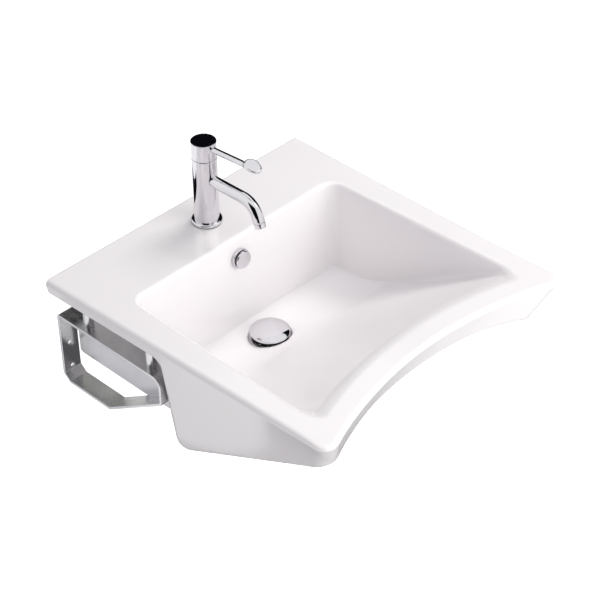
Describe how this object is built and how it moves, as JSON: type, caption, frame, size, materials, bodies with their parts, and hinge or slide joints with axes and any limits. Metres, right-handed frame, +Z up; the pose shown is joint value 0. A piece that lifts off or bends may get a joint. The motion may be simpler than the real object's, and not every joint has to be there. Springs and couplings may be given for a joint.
{
  "type": "wall-hung basin",
  "caption": "Wall-hung washbasin on two flat steel wall brackets, with a lever tap, an overflow and a press-to-open waste.",
  "frame": {"origin": "centre of the rectangle of the four wall screw holes, on the wall plane", "axes": "+X to the basin's right, +Y into the wall, -Y to the front, +Z up; the wall is the plane Y = 0"},
  "size_m": [0.5998, 0.6082, 0.4333],
  "materials": {
    "ceramic": "glossy white glaze",
    "chrome": "polished chrome plate",
    "polished_steel": "polished stainless steel",
    "steel": "zinc-plated steel",
    "brass": "machined brass",
    "copper": "drawn copper tube",
    "rubber": "matt black rubber",
    "white_plastic": "moulded white plastic",
    "grey_plastic": "moulded grey plastic"
  },
  "bodies": {
    "basin": {"basin": "ceramic", "overflow_sleeve": "white_plastic", "overflow_ring": "chrome", "overflow_cover": "chrome", "waste_body": "chrome", "waste_seal_top": "rubber", "waste_seal_bottom": "rubber", "waste_nut": "brass", "plug_guide": "white_plastic", "tap_gasket": "rubber", "tap_base_ring": "chrome", "tap_body": "chrome", "spout": "chrome", "aerator_ring": "chrome", "aerator_insert": "grey_plastic", "cartridge": "white_plastic", "cartridge_nut": "brass", "tap_stud": "steel", "tap_under_gasket": "rubber", "tap_washer": "steel", "tap_nut": "brass", "inlet_tail_hot": "copper", "inlet_tail_cold": "copper", "bracket_left": "polished_steel", "bracket_right": "polished_steel", "web_left": "polished_steel", "web_right": "polished_steel", "spacers_left": "polished_steel", "spacers_right": "polished_steel", "spacer_pads": "rubber", "spacer_bolts": "steel", "bolt_plugs": "grey_plastic"},
    "lever": {"cartridge_spindle": "brass", "lever_head": "chrome", "lever_arm": "chrome", "lever_cap": "chrome", "lever_screw": "steel"},
    "plug": {"plug_cap": "chrome", "plug_stem": "steel", "plug_seal": "rubber"}
  },
  "joints": [
    {"name": "lever_turn", "type": "hinge", "parent": "basin", "child": "lever", "pos_m": [0, -0.0735, 0.31], "axis": [0, 0, 1], "range_deg": [0, 100]},
    {"name": "plug_slide", "type": "slide", "parent": "basin", "child": "plug", "axis": [0, 0, 1], "range_m": [-0.006, 0]}
  ]
}
